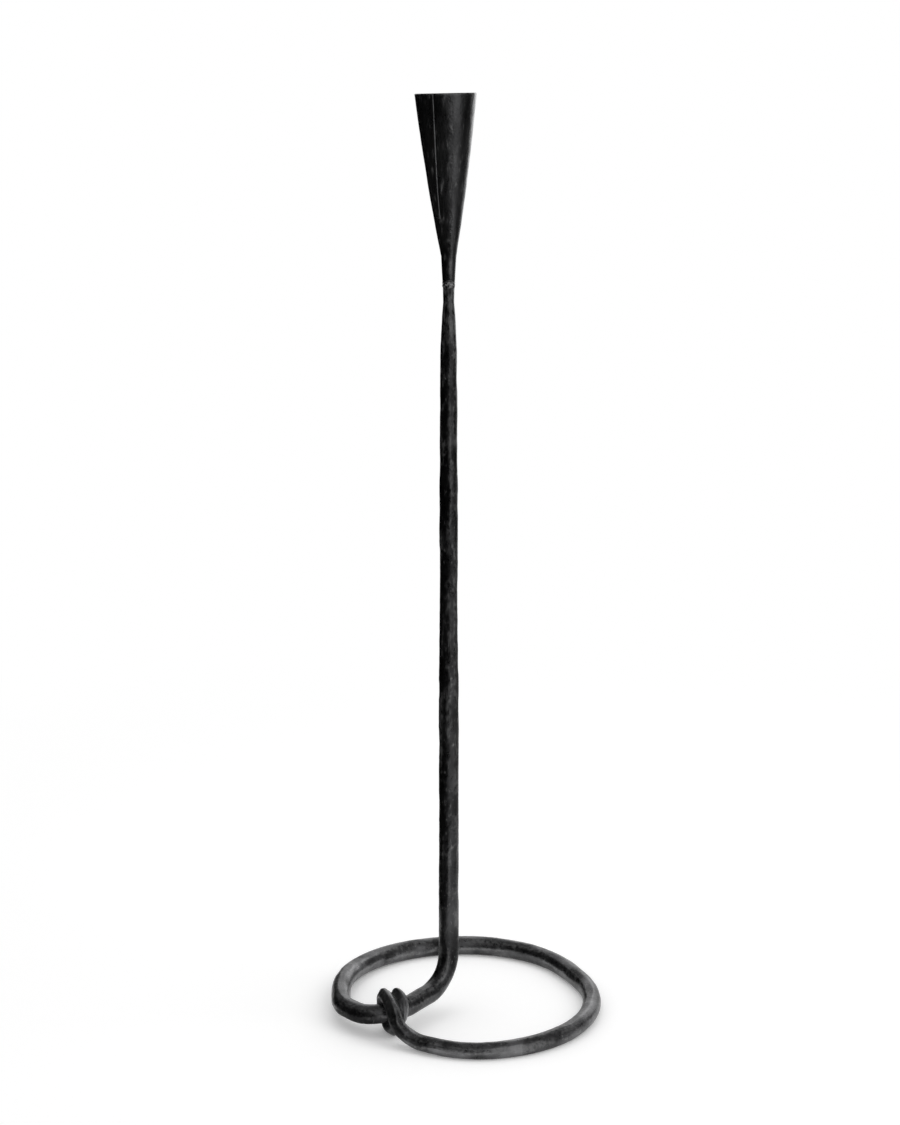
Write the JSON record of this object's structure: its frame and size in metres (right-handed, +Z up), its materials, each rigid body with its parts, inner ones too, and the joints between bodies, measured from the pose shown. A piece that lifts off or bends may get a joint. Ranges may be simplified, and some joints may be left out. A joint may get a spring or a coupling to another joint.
{
  "type": "candlestick",
  "caption": "Forged iron candlestick: an upright bar with a rolled conical socket for a taper candle, bent at the foot into a floor ring whose end is wrapped round the heel.",
  "frame": {"origin": "on the floor, at the middle of the candlestick's bounding box", "axes": "+Z up along the upright; -Y towards the front, where the knot shows left of the upright; +X to the viewer's right"},
  "size_m": [0.1545, 0.1542, 0.513],
  "materials": {
    "forged_bar": "hammered wrought iron, blackened and waxed",
    "rolled_sheet": "rolled iron sheet, blackened and waxed"
  },
  "bodies": {
    "root": {"candle_socket": "rolled_sheet", "socket_weld": "forged_bar", "stem": "forged_bar", "foot_ring": "forged_bar", "knot_wrap": "forged_bar"}
  },
  "joints": []
}
